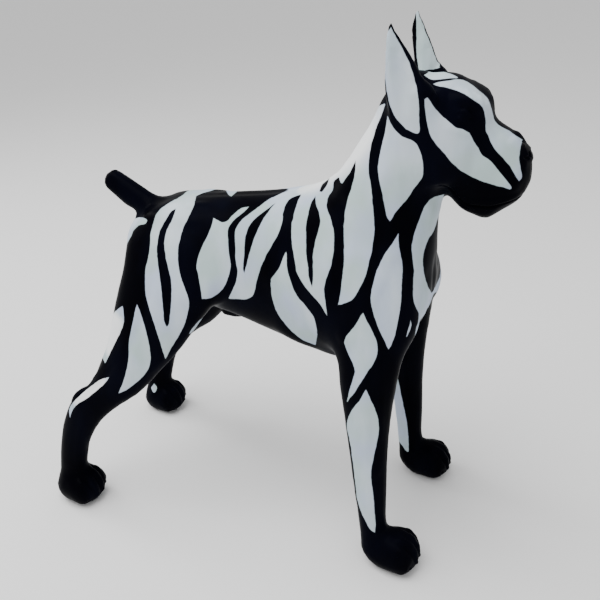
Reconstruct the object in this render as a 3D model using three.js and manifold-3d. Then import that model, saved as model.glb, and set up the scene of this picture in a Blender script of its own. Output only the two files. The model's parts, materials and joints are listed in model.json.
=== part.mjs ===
// A standing boxer dog with cropped ears and a docked tail, cast in resin as one piece that stands on its four paws.
// The figure is a blend of smooth forms: lofts through a few sections for trunk, neck, head, legs, ears and tail, and
// rounded masses for shoulders, cheeks, brows and paws. One half of the blend is wrapped in a skin, the skin is thinned
// where it is nearly flat, mirrored, and cut level under the paws, so that the dog stands on four flat soles.
// Frame: +X is the way the dog faces, +Y its left side, +Z up. Millimetres. The origin is on the ground under the middle.
import * as THREE from "three";
import Module from "manifold-3d";

// Driving dimensions
const WITHERS = 600; // height of the back over the shoulders
const FRONT_TRACK = 244; // between the middles of the front paws
const HIND_TRACK = 304; // between the middles of the hind paws
const PAW_LENGTH = 90;
const PAW_WIDTH = 76;
const SOLE_CUT = 6; // how much of each paw is cut off level
const GRID = 6; // step of the grid that the skin is wrapped on
const TRIANGLES = 9600; // in the thinned skin, both halves

// The figure is drawn for withers of 600 mm, and its drawn numbers are shares of that.
const DRAWN_WITHERS = 600;
const scale = WITHERS / DRAWN_WITHERS;
const frontY = FRONT_TRACK / 2 / scale;
const hindY = HIND_TRACK / 2 / scale;

// Beyond this distance a form no longer changes the blend.
const REACH = 45;
const radians = THREE.MathUtils.degToRad;

// A form swept along a straight axis that starts at (x, z) in the middle plane and leaves at `pitch` degrees. A section
// is [distance along the axis, high edge, low edge, half width, middle in Y, height of the widest place], with the
// edges measured square to the axis. `caps` are the lengths of the rounded ends, as shares of the end section.
function loft({ x, z, pitch, sections, power = 2, caps = [0.7, 0.7] }) {
  const [cos, sin] = [Math.cos(radians(pitch)), Math.sin(radians(pitch))];
  const rows = sections.map(([s, high, low, half, middle = 0, wide = (high + low) / 2]) => [
    s, high, low, half, middle, wide,
  ]);
  const [first, last] = [rows[0][0], rows.at(-1)[0]];
  const steps = 64;
  const table = Array.from({ length: steps + 1 }, (_, i) => sectionAt(rows, first + ((last - first) * i) / steps));
  const form = (px, py, pz) => {
    const s = (px - x) * cos + (pz - z) * sin;
    const t = (pz - z) * cos - (px - x) * sin;
    const inside = Math.min(Math.max(s, first), last);
    const place = ((inside - first) / (last - first)) * steps;
    const i = Math.min(Math.floor(place), steps - 1);
    const [before, after, u] = [table[i], table[i + 1], place - i];
    const high = before[1] + (after[1] - before[1]) * u;
    const low = before[2] + (after[2] - before[2]) * u;
    const half = before[3] + (after[3] - before[3]) * u;
    const middle = before[4] + (after[4] - before[4]) * u;
    const wide = before[5] + (after[5] - before[5]) * u;
    const a = t > wide ? high - wide : wide - low;
    const cap = Math.min(a, half) * (s < first ? caps[0] : caps[1]);
    return shell(Math.abs(t - wide), Math.abs(py - middle), Math.abs(s - inside), a, half, cap, power);
  };
  const box = new THREE.Box3();
  for (const [s, high, low, half, middle] of table) {
    const past = Math.max(high - low, half) * Math.max(...caps);
    for (const end of s === first || s === last ? [s - past, s + past] : [s])
      for (const t of [high, low])
        for (const y of [middle - half, middle + half])
          box.expandByPoint(new THREE.Vector3(x + end * cos - t * sin, y, z + end * sin + t * cos));
  }
  return within(box, form);
}

// The section at distance s along the axis, on a smooth curve through the given ones
function sectionAt(rows, s) {
  let i = 0;
  while (i < rows.length - 2 && s > rows[i + 1][0]) i++;
  const [p, q] = [rows[i], rows[i + 1]];
  const span = q[0] - p[0];
  const u = (s - p[0]) / span;
  const slope = (j, k) => {
    const a = rows[Math.max(j - 1, 0)];
    const b = rows[Math.min(j + 1, rows.length - 1)];
    return ((b[k] - a[k]) / (b[0] - a[0])) * span;
  };
  return p.map((from, k) => {
    if (k === 0) return s;
    const rise = (1 - u) ** 2 * (1 + 2 * u) * from + u ** 2 * (3 - 2 * u) * q[k];
    return rise + u * (1 - u) ** 2 * slope(i, k) - u ** 2 * (1 - u) * slope(i + 1, k);
  });
}

// Nearly the signed distance from a rounded box with half sizes a, b and c, at the offset (u, v, w) from its middle
function shell(u, v, w, a, b, c, power) {
  const [U, V, W] = [u / a, v / b, w / c];
  const q = (U ** power + V ** power + W ** power) ** (1 / power);
  if (q < 0.05) return -0.95 * Math.min(a, b);
  const steep = Math.hypot(U ** (power - 1) / a, V ** (power - 1) / b, W ** (power - 1) / c);
  return (q - 1) / (steep * q ** (1 - power));
}

// An egg with its middle at (x, y, z) and half sizes (a, b, c), pitched up by `pitch` and turned out by `yaw` degrees
function mass([x, y, z], [a, b, c], pitch = 0, yaw = 0) {
  const e = new THREE.Matrix4().makeRotationFromEuler(
    new THREE.Euler(0, -radians(pitch), radians(yaw), "ZYX"),
  ).elements;
  const form = (px, py, pz) => {
    const [dx, dy, dz] = [px - x, py - y, pz - z];
    const u = e[0] * dx + e[1] * dy + e[2] * dz;
    const v = e[4] * dx + e[5] * dy + e[6] * dz;
    const w = e[8] * dx + e[9] * dy + e[10] * dz;
    return shell(Math.abs(u), Math.abs(v), Math.abs(w), a, b, c, 2);
  };
  const middle = new THREE.Vector3(x, y, z);
  return within(new THREE.Box3(middle, middle.clone()).expandByScalar(Math.max(a, b, c)), form);
}

// Answers with the distance to the form's box where the form is out of reach
function within({ min, max }, form) {
  return (x, y, z) => {
    const dx = Math.max(min.x - x, x - max.x, 0);
    const dy = Math.max(min.y - y, y - max.y, 0);
    const dz = Math.max(min.z - z, z - max.z, 0);
    const far = Math.sqrt(dx * dx + dy * dy + dz * dz);
    return far > REACH ? far : form(x, y, z);
  };
}

// Joins forms with a hollow fillet, about `soft` wide, where they meet
function blend(soft, ...forms) {
  return (x, y, z) => {
    let d = forms[0](x, y, z);
    for (let i = 1; i < forms.length; i++) {
      const other = forms[i](x, y, z);
      const h = Math.max(soft - Math.abs(d - other), 0) / soft;
      d = Math.min(d, other) - (h * h * soft) / 4;
    }
    return d;
  };
}

// Trunk: deep chest, tucked-up belly, back that falls a little to the rump
const trunk = loft({
  x: 0, z: 0, pitch: 0, caps: [0.5, 0.5], power: 2.15,
  sections: [
    [-236, 524, 422, 54, 0, 476],
    [-204, 546, 398, 78, 0, 472],
    [-150, 559, 378, 88, 0, 468],
    [-80, 568, 370, 85, 0, 468],
    [0, 578, 347, 91, 0, 464],
    [70, 592, 329, 102, 0, 458],
    [125, 594, 319, 106, 0, 454],
    [180, 572, 336, 98, 0, 456],
    [218, 540, 378, 78, 0, 470],
  ],
});

// Neck: upright, arched at the crest, running into the withers and the chest
const neck = loft({
  x: 150, z: 480, pitch: 69, caps: [0.5, 0.6],
  sections: [
    [0, 82, -80, 92],
    [60, 96, -80, 84],
    [100, 90, -76, 73],
    [140, 80, -68, 64],
    [190, 70, -60, 57],
    [235, 58, -50, 52],
  ],
});

// Head, drawn along an axis that points down towards the nose
const HEAD = { x: 235, z: 700, pitch: -28 };
const skull = loft({
  ...HEAD, power: 2.15, caps: [0.8, 0.5],
  sections: [
    [-25, 60, -40, 44, 0, 12],
    [5, 77, -48, 56, 0, 12],
    [36, 76, -50, 59, 0, 8],
    [60, 67, -48, 52, 0, 4],
  ],
});
const muzzle = loft({
  ...HEAD, power: 2.7, caps: [0.6, 0.5],
  sections: [
    [55, 44, -44, 38, 0, -4],
    [82, 48, -66, 42, 0, -10],
    [108, 49, -76, 44, 0, -15],
    [134, 40, -73, 40, 0, -16],
  ],
});
const cheek = mass([262, 42, 662], [44, 19, 34], -24, -6);
const brow = mass([305, 27, 734], [22, 16, 11], -34, -14);
const lips = mass([353, 0, 624], [28, 36, 38], -28);
const head = blend(14, skull, muzzle, lips, cheek, brow);

// Ear: a long pointed leaf that leans out and back
const ear = loft({
  x: 226, z: 700, pitch: 97, power: 2, caps: [0.8, 1.2],
  sections: [
    [0, 12, -28, 15, 49],
    [25, 22, -32, 15, 53],
    [50, 24, -28, 13, 57],
    [85, 17, -19, 10, 62],
    [112, 10, -11, 7.5, 67],
    [138, 3, -3, 4, 71],
  ],
});

// Tail: docked, a short thick finger that points back and up
const tail = loft({
  x: -210, z: 522, pitch: 145, caps: [0.7, 1],
  sections: [
    [0, 24, -24, 22],
    [40, 19, -20, 18],
    [75, 16, -17, 16],
    [97, 15, -15, 15],
  ],
});

// Paw: a round ball for the toes in front of the leg, the heel under the leg, and four low toe ridges in a fan
function paw(x, y) {
  const [a, b] = [PAW_LENGTH / 2 / scale, PAW_WIDTH / 2 / scale];
  const ball = mass([x + 0.2 * a, y, 35], [a * 0.78, b * 0.97, 34]);
  const heel = mass([x - 0.36 * a, y, 29], [a * 0.62, b * 0.76, 28]);
  const toes = [-1.5, -0.5, 0.5, 1.5].map((place) =>
    mass([x + a * (0.6 - 0.08 * place * place), y + b * 0.45 * place, 31], [a * 0.38, b * 0.27, 20], 0, place * 10),
  );
  return blend(9, blend(16, ball, heel), ...toes);
}

// Front leg: straight, from inside the shoulder down to the paw
const frontLeg = loft({
  x: 0, z: 430, pitch: -90, caps: [0.6, 0.6],
  sections: [
    [-90, 205, 150, 14, 74],
    [-50, 224, 144, 27, 80],
    [0, 236, 140, 35, 90],
    [50, 235, 140, 37, 102],
    [100, 229, 144, 35, 110],
    [150, 223, 151, 30, frontY - 8],
    [220, 219, 160, 26, frontY - 4],
    [285, 219, 168, 23, frontY],
    [345, 219, 175, 22, frontY],
    [395, 223, 179, 24, frontY],
  ],
});
const shoulder = mass([160, 78, 446], [66, 38, 92], 62);

// Hind leg: broad thigh, bent stifle, hock set well back
const hindLeg = loft({
  x: 0, z: 500, pitch: -90, caps: [0.6, 0.6],
  sections: [
    [-35, -108, -198, 16, 46],
    [0, -74, -230, 34, 60],
    [50, -50, -240, 45, 78],
    [107, -90, -252, 43, 97],
    [164, -130, -264, 37, 112],
    [201, -162, -278, 31, 124],
    [249, -206, -304, 26, 134],
    [282, -250, -340, 24, 141],
    [316, -286, -358, 22, hindY - 4],
    [365, -317, -373, 21, hindY],
    [430, -337, -388, 21, hindY],
    [465, -341, -392, 22, hindY],
  ],
});
const sheath = mass([-82, 0, 364], [34, 12, 18], 8);

const legs = blend(24, blend(14, frontLeg, paw(230, frontY)), blend(14, hindLeg, paw(-355, hindY)));
const body = blend(16, blend(30, blend(40, trunk, neck, shoulder), legs), sheath);
const drawn = blend(18, blend(26, body, blend(18, head, ear)), tail);

// The figure at its real size, and the box that holds its left half
const figure = (x, y, z) => drawn(x / scale, y / scale, z / scale) * scale;
const ROOM = {
  low: [-440 * scale, -GRID / 2, -12 * scale],
  high: [420 * scale, Math.max(hindY, frontY) * scale + PAW_WIDTH, 870 * scale],
};

// Wraps the left half of the figure in a skin: one point in each grid cell that the surface crosses, and a square,
// split in two, round each grid edge that it crosses. The first cells lie astride y = 0, with their points at y = 0.
function wrap(value, { low, high }, step) {
  const n = low.map((l, k) => Math.ceil((high[k] - l) / step) + 1);
  const at = (i, j, k) => (i * n[1] + j) * n[2] + k;
  const values = new Float32Array(n[0] * n[1] * n[2]);
  for (let i = 0; i < n[0]; i++)
    for (let j = 0; j < n[1]; j++)
      for (let k = 0; k < n[2]; k++)
        values[at(i, j, k)] = value(low[0] + i * step, Math.abs(low[1] + j * step), low[2] + k * step);
  const corners = [0, 1, 2, 3, 4, 5, 6, 7].map((c) => [c & 1, (c >> 1) & 1, (c >> 2) & 1]);
  const edges = corners.flatMap((_, a) => [1, 2, 4].filter((bit) => !(a & bit)).map((bit) => [a, a | bit]));
  const known = new Map();
  const points = [];
  const point = (i, j, k) => {
    const key = at(i, j, k);
    if (known.has(key)) return known.get(key);
    const sum = [0, 0, 0];
    let count = 0;
    for (const [a, b] of edges) {
      const [p, q] = [corners[a], corners[b]];
      const va = values[at(i + p[0], j + p[1], k + p[2])];
      const vb = values[at(i + q[0], j + q[1], k + q[2])];
      if (va < 0 === vb < 0) continue;
      const t = va / (va - vb);
      for (let m = 0; m < 3; m++) sum[m] += p[m] + (q[m] - p[m]) * t;
      count++;
    }
    const spot = [i, j, k].map((g, m) => low[m] + (g + sum[m] / count) * step);
    if (j === 0) spot[1] = 0;
    known.set(key, points.length);
    points.push(spot);
    return points.length - 1;
  };
  const faces = [];
  for (let i = 1; i < n[0] - 1; i++)
    for (let j = 0; j < n[1] - 1; j++)
      for (let k = 1; k < n[2] - 1; k++) {
        const here = values[at(i, j, k)] < 0;
        const around = [[values[at(i, j + 1, k)] < 0, [i - 1, j, k - 1], [i - 1, j, k], [i, j, k], [i, j, k - 1]]];
        if (j > 0)
          around.push(
            [values[at(i + 1, j, k)] < 0, [i, j - 1, k - 1], [i, j, k - 1], [i, j, k], [i, j - 1, k]],
            [values[at(i, j, k + 1)] < 0, [i - 1, j - 1, k], [i, j - 1, k], [i, j, k], [i - 1, j, k]],
          );
        for (const [there, ...cells] of around) {
          if (here === there) continue;
          const [a, b, c, d] = cells.map((cell) => point(...cell));
          faces.push(...(here ? [[a, b, c], [a, c, d]] : [[a, c, b], [a, d, c]]));
        }
      }
  return { points, faces };
}

// Moves each point down the figure's slope onto its surface
function settle(points, value, step) {
  const e = step / 20;
  for (const p of points)
    for (let pass = 0; pass < 3; pass++) {
      const v = value(...p);
      const g = [value(p[0] + e, p[1], p[2]), value(p[0], p[1] + e, p[2]), value(p[0], p[1], p[2] + e)].map(
        (w, m) => (p[1] === 0 && m === 1 ? 0 : (w - v) / e),
      );
      const steep = g[0] ** 2 + g[1] ** 2 + g[2] ** 2;
      if (steep < 0.05) break;
      const move = Math.max(Math.min(v / steep, step / 2), -step / 2);
      for (let m = 0; m < 3; m++) p[m] -= g[m] * move;
    }
}

// How far a point lies from the planes of the faces round it, as a quadratic form, with a light pull to where it was
function quadrics(points, faces) {
  const PULL = 0.004;
  const forms = points.map(() => new Float64Array(10));
  for (const face of faces) {
    const [p, q, r] = face.map((i) => new THREE.Vector3(...points[i]));
    const normal = q.clone().sub(p).cross(r.clone().sub(p));
    const area = normal.length() / 2;
    if (area === 0) continue;
    normal.normalize();
    const [x, y, z] = normal.toArray();
    const d = -normal.dot(p);
    for (const i of face) {
      const [px, py, pz] = points[i];
      const w = PULL * area;
      [
        area * x * x + w, area * x * y, area * x * z, area * y * y + w, area * y * z, area * z * z + w,
        area * x * d - w * px, area * y * d - w * py, area * z * d - w * pz,
        area * d * d + w * (px * px + py * py + pz * pz),
      ].forEach((term, m) => {
        forms[i][m] += term;
      });
    }
  }
  return forms;
}

// The point that a quadratic form likes best, kept at y = 0 for an edge on the seam, and what it costs
function best(q, seam) {
  const [xx, xy, xz, yy, yz, zz, bx, by, bz, c] = q;
  const p = new THREE.Vector3(-bx, seam ? 0 : -by, -bz);
  const matrix = seam
    ? new THREE.Matrix3(xx, 0, xz, 0, 1, 0, xz, 0, zz)
    : new THREE.Matrix3(xx, xy, xz, xy, yy, yz, xz, yz, zz);
  p.applyMatrix3(matrix.invert());
  const { x, y, z } = p;
  const square = xx * x * x + yy * y * y + zz * z * z + 2 * (xy * x * y + xz * x * z + yz * y * z);
  return { point: [x, y, z], cost: square + 2 * (bx * x + by * y + bz * z) + c };
}

// Thins the skin to `target` faces by closing its cheapest edges, a small share of them in each pass
function thin(points, faces, target) {
  const SHARE = 0.08;
  const forms = quadrics(points, faces);
  let skin = faces;
  while (skin.length > target) {
    const ring = points.map(() => []);
    skin.forEach((face, f) => face.forEach((i) => ring[i].push(f)));
    const near = (i) => new Set(ring[i].flatMap((f) => skin[f]).filter((j) => j !== i));
    const edges = [];
    for (const face of skin)
      face.forEach((a, m) => {
        const b = face[(m + 1) % 3];
        const seamEdge = points[a][1] === 0 && points[b][1] === 0;
        if (a > b && !seamEdge) return;
        const seam = points[a][1] === 0 || points[b][1] === 0;
        edges.push({ a, b, seamEdge, ...best(forms[a].map((w, k) => w + forms[b][k]), seam) });
      });
    edges.sort((e, f) => e.cost - f.cost);
    const busy = new Uint8Array(points.length);
    const into = new Map();
    let left = Math.ceil(Math.min((skin.length - target) / 2, skin.length * SHARE));
    for (const { a, b, seamEdge, point } of edges) {
      if (left === 0) break;
      if (busy[a] || busy[b]) continue;
      const [nearA, nearB] = [near(a), near(b)];
      if ([a, b, ...nearA, ...nearB].some((i) => busy[i])) continue;
      const shared = [...nearA].filter((i) => nearB.has(i));
      const sharedFaces = ring[a].filter((f) => ring[b].includes(f));
      if (shared.length !== sharedFaces.length || (seamEdge && sharedFaces.length !== 1)) continue;
      const kept = [...ring[a], ...ring[b]].filter((f) => !sharedFaces.includes(f));
      const fair = kept.every((f) => {
        const moved = skin[f].map((i) => (i === a || i === b ? point : points[i]));
        return staysFair(skin[f].map((i) => points[i]), moved);
      });
      if (!fair) continue;
      points[a] = point;
      forms[b].forEach((w, k) => {
        forms[a][k] += w;
      });
      into.set(b, a);
      for (const i of [a, b, ...nearA, ...nearB]) busy[i] = 1;
      left--;
    }
    const before = skin.length;
    skin = skin
      .map((face) => face.map((i) => into.get(i) ?? i))
      .filter(([a, b, c]) => a !== b && b !== c && c !== a);
    if (skin.length === before) break;
  }
  return skin;
}

// Whether a moved triangle still faces the same way and isn't a sliver
function staysFair(before, after) {
  const cross = ([p, q, r]) => {
    const [u, v] = [q.map((w, m) => w - p[m]), r.map((w, m) => w - p[m])];
    return [u[1] * v[2] - u[2] * v[1], u[2] * v[0] - u[0] * v[2], u[0] * v[1] - u[1] * v[0]];
  };
  const [m, n] = [cross(before), cross(after)];
  const [m2, n2] = [Math.hypot(...m), Math.hypot(...n)];
  const reach = Math.max(...after.map((p, i) => Math.hypot(...p.map((w, k) => w - after[(i + 1) % 3][k]))));
  return n2 > 0.16 * reach * reach && m[0] * n[0] + m[1] * n[1] + m[2] * n[2] > 0.4 * m2 * n2;
}

// Mirrors the half skin in y = 0 and joins both halves along the seam
function mirrored(points, faces) {
  const used = [...new Set(faces.flat())];
  const left = new Map(used.map((i, place) => [i, place]));
  const right = new Map();
  const all = used.map((i) => points[i]);
  for (const i of used) {
    const [x, y, z] = points[i];
    right.set(i, y === 0 ? left.get(i) : all.push([x, -y, z]) - 1);
  }
  const both = faces.flatMap(([a, b, c]) => [
    [left.get(a), left.get(b), left.get(c)],
    [right.get(a), right.get(c), right.get(b)],
  ]);
  return { points: all, faces: both };
}

const skin = wrap(figure, ROOM, GRID);
settle(skin.points, figure, GRID);
const half = thin(skin.points, skin.faces, TRIANGLES / 2);
const whole = mirrored(skin.points, half);

// Cut the soles level and stand the dog on the ground over the origin.
const wasm = await Module();
wasm.setup();
const solid = new wasm.Manifold(
  new wasm.Mesh({
    numProp: 3,
    vertProperties: new Float32Array(whole.points.flat()),
    triVerts: new Uint32Array(whole.faces.flat()),
  }),
);
const cut = solid.trimByPlane([0, 0, 1], SOLE_CUT).getMesh();
const geometry = new THREE.BufferGeometry();
geometry.setAttribute("position", new THREE.BufferAttribute(new Float32Array(cut.vertProperties), 3));
geometry.setIndex([...cut.triVerts]);
geometry.computeBoundingBox();
const { min, max } = geometry.boundingBox;
geometry.translate(-(min.x + max.x) / 2, -(min.y + max.y) / 2, -min.z);
geometry.computeVertexNormals();

const dog = new THREE.Mesh(
  geometry,
  new THREE.MeshStandardMaterial({ color: 0x6f7478, roughness: 0.32, metalness: 0 }),
);
dog.name = "dog";
const group = new THREE.Group();
group.name = "resin_dog";
group.add(dog);

export default group;
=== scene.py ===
# A life-size resin dog with cropped ears and a docked tail, painted in black and pale zebra stripes, on a pale floor.
# Metres, +X the way the dog faces, +Y its left side, +Z up, the origin on the ground under its middle.
import json
import math

import bmesh
import bpy
import numpy as np
from mathutils import Matrix, Vector
from mathutils.bvhtree import BVHTree

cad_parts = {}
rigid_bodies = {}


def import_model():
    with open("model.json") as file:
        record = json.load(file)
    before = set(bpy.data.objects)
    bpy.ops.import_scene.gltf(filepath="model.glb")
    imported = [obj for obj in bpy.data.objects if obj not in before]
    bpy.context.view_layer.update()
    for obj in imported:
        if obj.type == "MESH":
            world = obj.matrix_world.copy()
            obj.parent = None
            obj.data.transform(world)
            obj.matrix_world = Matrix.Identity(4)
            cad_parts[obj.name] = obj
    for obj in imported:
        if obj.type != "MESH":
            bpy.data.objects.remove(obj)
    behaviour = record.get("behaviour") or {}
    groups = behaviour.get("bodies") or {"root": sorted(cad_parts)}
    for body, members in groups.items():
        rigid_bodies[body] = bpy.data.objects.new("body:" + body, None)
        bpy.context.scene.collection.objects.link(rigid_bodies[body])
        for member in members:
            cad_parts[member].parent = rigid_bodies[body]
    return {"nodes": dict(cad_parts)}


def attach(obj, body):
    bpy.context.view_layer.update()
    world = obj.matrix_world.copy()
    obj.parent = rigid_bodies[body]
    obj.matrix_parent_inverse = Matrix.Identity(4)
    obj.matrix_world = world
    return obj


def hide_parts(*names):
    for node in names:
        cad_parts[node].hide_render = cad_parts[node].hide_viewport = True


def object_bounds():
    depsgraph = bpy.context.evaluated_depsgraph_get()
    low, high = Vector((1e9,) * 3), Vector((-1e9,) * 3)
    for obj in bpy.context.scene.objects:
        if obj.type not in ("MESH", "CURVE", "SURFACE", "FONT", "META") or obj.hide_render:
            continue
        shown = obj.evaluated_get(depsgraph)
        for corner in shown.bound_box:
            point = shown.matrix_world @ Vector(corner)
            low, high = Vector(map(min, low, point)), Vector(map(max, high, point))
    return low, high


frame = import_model()
cad_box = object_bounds()

# Camera
# Held by hand in front of the dog's right shoulder, a little higher than the ears, tipped down and slightly askew.
AIM = Vector((0.04055, 0.0, 0.4286))
AZIMUTH = math.radians(22.87)
ELEVATION = math.radians(24.99)
ROLL = math.radians(-2.75)
DISTANCE = 1.2303
IMAGE = 600  # pixels on each side
FOCAL = 760.5  # pixels
LENS_AXIS = (295.9, 278.06)  # the pixel that the lens looks at
SENSOR = 36.0  # millimetres

ahead = Vector((
    -math.cos(ELEVATION) * math.sin(AZIMUTH),
    math.cos(ELEVATION) * math.cos(AZIMUTH),
    -math.sin(ELEVATION),
))
level = ahead.cross(Vector((0, 0, 1))).normalized()
rise = level.cross(ahead)
right = level * math.cos(ROLL) + rise * math.sin(ROLL)
up = rise * math.cos(ROLL) - level * math.sin(ROLL)
eye_point = AIM - ahead * DISTANCE

lens = bpy.data.cameras.new("camera")
lens.sensor_width = SENSOR
lens.lens = FOCAL * SENSOR / IMAGE
lens.shift_x = (IMAGE / 2 - LENS_AXIS[0]) / IMAGE
lens.shift_y = (LENS_AXIS[1] - IMAGE / 2) / IMAGE
studio = bpy.context.scene.collection.objects
camera = bpy.data.objects.new("camera", lens)
camera.matrix_world = Matrix.Translation(eye_point) @ Matrix((right, up, -ahead)).transposed().to_4x4()
studio.link(camera)
bpy.context.scene.camera = camera


def pixels(points):
    """Where points on the dog fall in the photograph, as an array of pixel pairs."""
    sight = points - np.array(eye_point)
    deep = sight @ np.array(ahead)
    across = LENS_AXIS[0] + FOCAL * (sight @ np.array(right)) / deep
    down = LENS_AXIS[1] - FOCAL * (sight @ np.array(up)) / deep
    return np.stack([across, down], 1)


# Dog: the casting
# One hollow resin casting from a mould, with the muscles, face and toes sculpted in its skin and the soles cut level.
# The solid's skin is wrapped in even small faces, ironed smooth, and refined on the head, the ears and the paws.
VOXEL = 0.0050
HEAD_REGION = (0.19, 0.585)  # fine faces where x and z are both above these
PAW_TOP = 0.052  # and below this height
PAW_FADE = 0.025  # a paw is ironed less, up to a little more than this above its top
PAW_HOLD = 1.2  # the share of its shape that is kept falls from this with height, and is at most the next
PAW_MOST = 0.8
EAR_FOOT = (0.70, 0.735)  # the ears grow out of the skull between these heights
EAR_INSIDE = 0.03  # and lie further than this from the middle
TIP = 0.03  # the top of each ear that is drawn out to the full height
EAR_LEAN = 0.006  # how far the tips lean back
EAR_BLEND = 0.02  # what one ear alone gets starts this softly at its inner side
LEFT_EAR_IN = 0.010  # how far the left ear's back edge is drawn in
LEFT_EAR_BACK = (0.205, 0.240)  # fully at the first of these, and not at all ahead of the second
LEFT_EAR_TOP = (0.805, 0.045)  # nor above this height, with the change spread over so much below it
LEFT_EAR_ROOT = 0.25  # the share of the ear's height over which it starts
TAIL_ROOT = (-0.235, -0.275)  # the tail grows out of the rump between these, above TAIL_LOW
TAIL_LOW = 0.53
TAIL_END = (-0.296, -0.278)  # the tail's end is round behind the second, and free of the solid behind the first
TAIL_BLEND = 0.01
FIRST_PASSES = 16  # of ironing, for the whole skin, then again after it is refined, then for the tail's end
LAST_PASSES = 6
TAIL_PASSES = 25
SOLE = 0.0012  # skin below this height belongs to a flat sole

cad = frame["nodes"]["dog"]
master = bpy.data.meshes.new("dog_master")
form = bmesh.new()
form.from_mesh(cad.data)
bmesh.ops.remove_doubles(form, verts=form.verts, dist=1e-5)
solid_skin = BVHTree.FromBMesh(form)
full_height = max(v.co.z for v in form.verts)
form.to_mesh(master)
form.free()
dog = bpy.data.objects.new("dog_casting", master)
studio.link(dog)
wrapping = dog.modifiers.new("wrapping", "REMESH")
wrapping.mode = "VOXEL"
wrapping.voxel_size = VOXEL
casting = bpy.data.meshes.new_from_object(dog.evaluated_get(bpy.context.evaluated_depsgraph_get()))
casting.name = "dog_casting"
dog.modifiers.clear()
dog.data = casting


def read_points(mesh):
    """A mesh's points as an array, one row for each."""
    flat = np.empty(len(mesh.vertices) * 3, np.float32)
    mesh.vertices.foreach_get("co", flat)
    return flat.reshape(-1, 3).astype(float)


def write_points(mesh, points):
    """Puts points back into the mesh, and gives the way that the skin faces at each."""
    mesh.vertices.foreach_set("co", points.astype(np.float32).ravel())
    mesh.update()
    flat = np.empty(len(points) * 3, np.float32)
    mesh.vertex_normals.foreach_get("vector", flat)
    return flat.reshape(-1, 3).astype(float)


def smoothed(mesh, points, passes, share=1.0):
    """Points with small bumps ironed out: each pass shrinks the form a little and swells it again as much."""
    SHRINK = 0.5
    SWELL = -0.53
    links = np.empty(len(mesh.edges) * 2, np.int32)
    mesh.edges.foreach_get("vertices", links)
    first, last = links[0::2], links[1::2]
    count = np.bincount(links, minlength=len(points))
    for step in [SHRINK, SWELL] * passes:
        mean = np.stack([
            np.bincount(first, column[last], len(points)) + np.bincount(last, column[first], len(points))
            for column in points.T
        ], 1) / count[:, None]
        points = points + step * share * (mean - points)
    return points


def refined(mesh, chosen):
    """Splits in four the faces of a mesh that have only chosen corners, and gives its points."""
    form = bmesh.new()
    form.from_mesh(mesh)
    edges = [e for e in form.edges if chosen[e.verts[0].index] and chosen[e.verts[1].index]]
    bmesh.ops.subdivide_edges(form, edges=edges, cuts=1, use_grid_fill=True)
    bmesh.ops.triangulate(form, faces=[f for f in form.faces if len(f.verts) > 4])
    form.to_mesh(mesh)
    form.free()
    return read_points(mesh)


def slender(points):
    """1 on the ears and the tail, 0 off them, and between the two at their roots."""
    ear = np.clip((points[:, 2] - EAR_FOOT[0]) / (EAR_FOOT[1] - EAR_FOOT[0]), 0, 1)
    tail = np.clip((points[:, 0] - TAIL_ROOT[0]) / (TAIL_ROOT[1] - TAIL_ROOT[0]), 0, 1)
    tail *= np.clip((points[:, 0] - TAIL_END[0]) / (TAIL_END[1] - TAIL_END[0]), 0, 1)
    return np.maximum(ear * (np.abs(points[:, 1]) > EAR_INSIDE), tail * (points[:, 2] > TAIL_LOW))


points = read_points(casting)
on_paw = np.clip(PAW_HOLD - points[:, 2] / (PAW_TOP + PAW_FADE), 0, PAW_MOST)
on_sole = points[:, 2] < SOLE
points = smoothed(casting, points, FIRST_PASSES, (1 - np.maximum(slender(points), on_paw))[:, None])
points[on_sole, 2] = 0.0
write_points(casting, points)
on_head = (points[:, 0] > HEAD_REGION[0]) & (points[:, 2] > HEAD_REGION[1])
points = refined(casting, on_head | (points[:, 2] < PAW_TOP))

held = slender(points)
for i in np.flatnonzero(held):
    place = solid_skin.find_nearest(points[i])[0]
    points[i] += held[i] * (np.array(place) - points[i])
on_sole = points[:, 2] < SOLE
points = smoothed(casting, points, LAST_PASSES)
tail_end = np.clip((TAIL_END[1] - points[:, 0]) / TAIL_BLEND, 0, 1) * (points[:, 2] > TAIL_LOW)
points = smoothed(casting, points, TAIL_PASSES, tail_end[:, None])
tip = np.clip((points[:, 2] - full_height + TIP) / TIP, 0, 1)
points[:, 2] += (full_height - points[:, 2].max()) * tip * tip / (tip * tip).max()
up_the_ear = np.clip((points[:, 2] - EAR_FOOT[0]) / (full_height - EAR_FOOT[0]), 0, 1)
points[:, 0] -= EAR_LEAN * up_the_ear ** 2
drawn_in = np.clip((LEFT_EAR_BACK[1] - points[:, 0]) / (LEFT_EAR_BACK[1] - LEFT_EAR_BACK[0]), 0, 1)
drawn_in *= np.clip((points[:, 1] - EAR_INSIDE) / EAR_BLEND, 0, 1) * np.clip(up_the_ear / LEFT_EAR_ROOT, 0, 1)
points[:, 0] += LEFT_EAR_IN * drawn_in * np.clip((LEFT_EAR_TOP[0] - points[:, 2]) / LEFT_EAR_TOP[1], 0, 1)
points[on_sole, 2] = 0.0
points[:, 2] = np.maximum(points[:, 2], 0.0)
normals = write_points(casting, points)
skin = BVHTree.FromPolygons(points.tolist(), [tuple(p.vertices) for p in casting.polygons])

# Dog: the relief
# What the sculptor pressed and raised in the master before it was cast: lids, nose, lips, ear cups, muscles and toes.
# Lines are pixels of the photograph on the right side, or places in metres. Both halves get the same, and the work is
# done on `half`, the points with the left ones turned over onto the right.


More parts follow.
